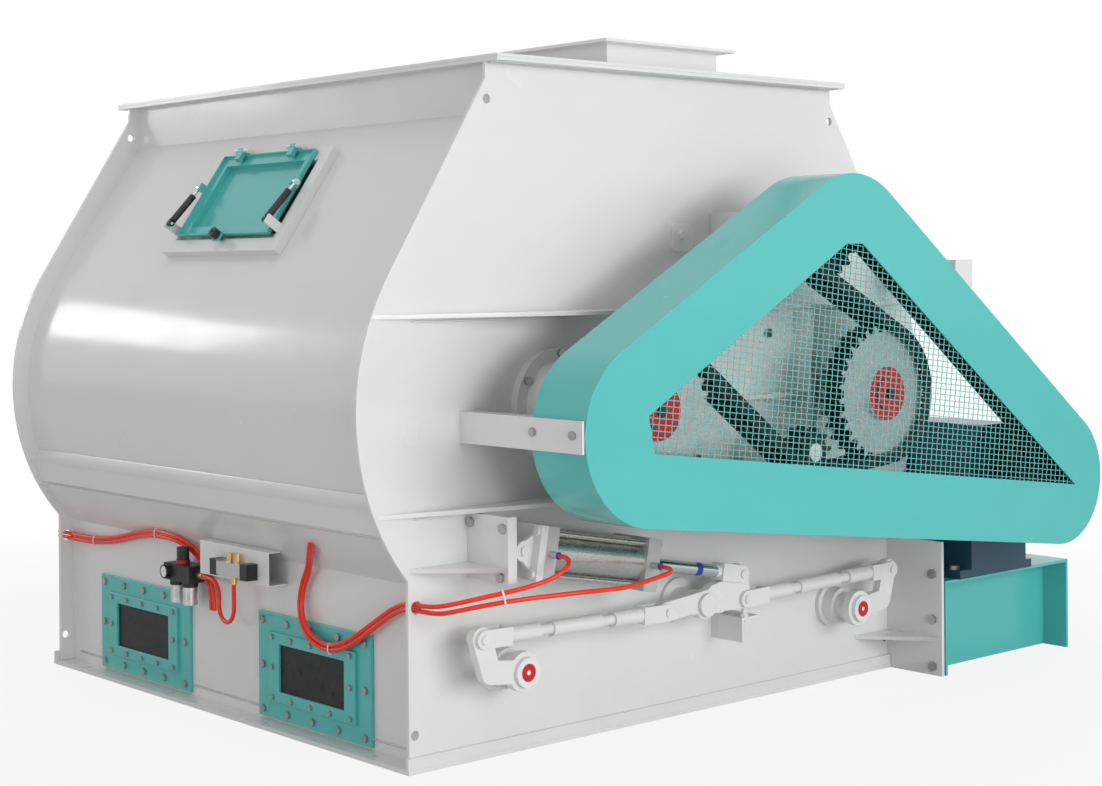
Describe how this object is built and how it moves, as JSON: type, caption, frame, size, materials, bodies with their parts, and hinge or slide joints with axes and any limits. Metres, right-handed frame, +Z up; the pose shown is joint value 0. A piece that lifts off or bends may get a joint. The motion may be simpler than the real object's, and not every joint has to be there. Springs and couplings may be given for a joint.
{
  "type": "twin-shaft paddle mixer",
  "caption": "Twin-shaft paddle mixer for feed with a chain drive behind a mesh guard, bomb-bay discharge doors on an air cylinder linkage, a top inlet, an access hatch and side windows.",
  "frame": {"origin": "centre of the base flange, on the floor", "axes": "+Z up, +Y along the rotors away from the drive end, +X across the drive end towards the motor"},
  "size_m": [2.681, 2.454, 1.868],
  "materials": {
    "body_paint": "smooth white enamel, semi-gloss",
    "base_paint": "smooth teal enamel, semi-gloss",
    "rail_paint": "white enamel, semi-gloss",
    "link_paint": "light grey enamel",
    "guard_paint": "smooth teal enamel, semi-gloss",
    "mesh_wire": "woven wire",
    "bare_steel": "machined steel",
    "chain_steel": "dark oiled steel",
    "gear_paint": "blue-grey machinery enamel",
    "zinc": "zinc-plated",
    "clear_pane": "clear acrylic sheet",
    "alloy": "anodised aluminium",
    "chrome_rod": "hard chrome",
    "black_plastic": "moulded black plastic",
    "unit_plastic": "light grey moulding",
    "fitting_brass": "plated brass",
    "hose_red": "extruded polyurethane tube"
  },
  "bodies": {
    "machine": {"access_frame": "rail_paint", "air_fittings": "fitting_brass", "air_unit": "unit_plastic", "base_flange": "body_paint", "bolts": "zinc", "cylinder_bracket": "rail_paint", "drive_bracket": "body_paint", "drive_chain": "chain_steel", "drive_end_plate": "body_paint", "end_ribs": "body_paint", "far_end_plate": "body_paint", "flange_bearings": "gear_paint", "gear_unit": "gear_paint", "guard_brackets": "link_paint", "guard_cover": "guard_paint", "guard_mesh": "mesh_wire", "hose_cylinder_front": "hose_red", "hose_cylinder_rear": "hose_red", "hose_far_lower": "hose_red", "hose_far_upper": "hose_red", "hose_supply": "hose_red", "inlet_box": "body_paint", "ledge_rails": "body_paint", "lower_panel_left": "body_paint", "lower_panel_right": "body_paint", "motor": "gear_paint", "motor_base": "base_paint", "ridge_beam": "bare_steel", "rocker_post": "link_paint", "shell_left": "body_paint", "shell_right": "body_paint", "side_bracket": "body_paint", "solenoid_valve": "alloy", "stop_bracket": "link_paint", "top_cover": "body_paint", "top_flange": "body_paint", "valve_channel": "rail_paint", "window_frames": "base_paint", "window_panes": "clear_pane"},
    "rotor_left": {"rotor_left": "bare_steel", "sprocket_left": "bare_steel"},
    "rotor_right": {"rotor_right": "bare_steel", "sprocket_right": "bare_steel"},
    "drive_shaft": {"drive_sprocket": "bare_steel"},
    "idler_wheel": {"chain_idler": "bare_steel"},
    "tensioner_wheel": {"chain_tensioner": "bare_steel"},
    "door_left": {"discharge_door_left": "bare_steel", "crank_left": "link_paint"},
    "door_right": {"discharge_door_right": "bare_steel", "crank_right": "link_paint"},
    "rocker_body": {"rocker": "link_paint"},
    "tie_left": {"tie_rod_left": "zinc"},
    "tie_right": {"tie_rod_right": "zinc"},
    "cylinder": {"cylinder_barrel": "alloy"},
    "piston": {"piston_rod": "chrome_rod"},
    "hatch": {"access_door": "base_paint"},
    "strut_lower": {"strut_tubes": "black_plastic"},
    "strut_upper": {"strut_rods": "chrome_rod"},
    "hatch_knob": {"latch_knob": "black_plastic"},
    "pressure_knob": {"regulator_knob": "black_plastic"}
  },
  "joints": [
    {"name": "rotor_left_spin", "type": "hinge", "parent": "machine", "child": "rotor_left", "pos_m": [-0.446, 0, 0.89], "axis": [0, -1, 0], "continuous": true, "deforming": ["drive_chain"]},
    {"name": "rotor_right_spin", "type": "hinge", "parent": "machine", "child": "rotor_right", "pos_m": [0.446, 0, 0.89], "axis": [0, -1, 0], "continuous": true, "deforming": ["drive_chain"]},
    {"name": "drive_shaft_spin", "type": "hinge", "parent": "machine", "child": "drive_shaft", "pos_m": [1.19, -1.265, 0.602], "axis": [0, -1, 0], "continuous": true, "deforming": ["drive_chain"]},
    {"name": "idler_spin", "type": "hinge", "parent": "machine", "child": "idler_wheel", "pos_m": [0.224, -1.265, 1.33], "axis": [0, -1, 0], "continuous": true, "deforming": ["drive_chain"]},
    {"name": "tensioner_spin", "type": "hinge", "parent": "machine", "child": "tensioner_wheel", "pos_m": [0.15, -1.265, 0.745], "axis": [0, -1, 0], "continuous": true, "deforming": ["drive_chain"]},
    {"name": "door_left_swing", "type": "hinge", "parent": "machine", "child": "door_left", "pos_m": [-0.654, 0, 0.23], "axis": [0, 1, 0], "range_deg": [0, 74.06]},
    {"name": "door_right_swing", "type": "hinge", "parent": "machine", "child": "door_right", "pos_m": [0.654, 0, 0.23], "axis": [0, -1, 0], "range_deg": [0, 59.88]},
    {"name": "rocker_turn", "type": "hinge", "parent": "machine", "child": "rocker_body", "pos_m": [0, -1.025, 0.32], "axis": [0, -1, 0], "range_deg": [0, 90.01]},
    {"name": "tie_left_turn", "type": "hinge", "parent": "rocker_body", "child": "tie_left", "pos_m": [-0.155, -1.025, 0.318], "axis": [0, 1, 0], "range_deg": [0, 109.68]},
    {"name": "tie_right_turn", "type": "hinge", "parent": "rocker_body", "child": "tie_right", "pos_m": [0.155, -1.025, 0.318], "axis": [0, 1, 0], "range_deg": [0, 97.75]},
    {"name": "cylinder_tilt", "type": "hinge", "parent": "machine", "child": "cylinder", "pos_m": [-0.682, -1.025, 0.54], "axis": [0, -1, 0], "range_deg": [0, 2.74]},
    {"name": "piston_slide", "type": "slide", "parent": "cylinder", "child": "piston", "axis": [0.9837, 0, -0.1799], "range_m": [-0.21624, 0]},
    {"name": "hatch_swing", "type": "hinge", "parent": "machine", "child": "hatch", "pos_m": [-0.73296, 0, 1.60002], "axis": [0, 1, 0], "range_deg": [0, 60]},
    {"name": "strut_tilt", "type": "hinge", "parent": "machine", "child": "strut_lower", "pos_m": [-0.90754, 0, 1.3864], "axis": [0, -1, 0], "range_deg": [0, 32.28]},
    {"name": "strut_slide", "type": "slide", "parent": "strut_lower", "child": "strut_upper", "axis": [0.6867, 0, 0.7269], "range_m": [0, 0.08302]},
    {"name": "hatch_knob_turn", "type": "hinge", "parent": "hatch", "child": "hatch_knob", "pos_m": [-0.90051, 0, 1.34384], "axis": [-0.8223, 0, 0.569], "range_deg": [0, 90]},
    {"name": "pressure_knob_turn", "type": "hinge", "parent": "machine", "child": "pressure_knob", "pos_m": [-0.935, 0.15, 0.423], "axis": [0, 0, 1], "range_deg": [-180, 180]}
  ],
  "couplings": [
    {"joint": "rotor_right_spin", "follows": "rotor_left_spin", "ratio": -1},
    {"joint": "drive_shaft_spin", "follows": "rotor_left_spin", "ratio": 1.7647},
    {"joint": "idler_spin", "follows": "rotor_left_spin", "ratio": 1.7647},
    {"joint": "tensioner_spin", "follows": "rotor_left_spin", "ratio": -3},
    {"joint": "door_right_swing", "follows": "door_left_swing", "ratio": 0.80837},
    {"joint": "rocker_turn", "follows": "door_left_swing", "ratio": 1.2152},
    {"joint": "tie_left_turn", "follows": "door_left_swing", "ratio": 1.4808},
    {"joint": "tie_right_turn", "follows": "door_left_swing", "ratio": 1.3198},
    {"joint": "cylinder_tilt", "follows": "door_left_swing", "ratio": 0.036927},
    {"joint": "piston_slide", "follows": "door_left_swing", "m_per_rad": -0.16721},
    {"joint": "strut_tilt", "follows": "hatch_swing", "ratio": 0.5378},
    {"joint": "strut_slide", "follows": "hatch_swing", "m_per_rad": 0.079182}
  ]
}
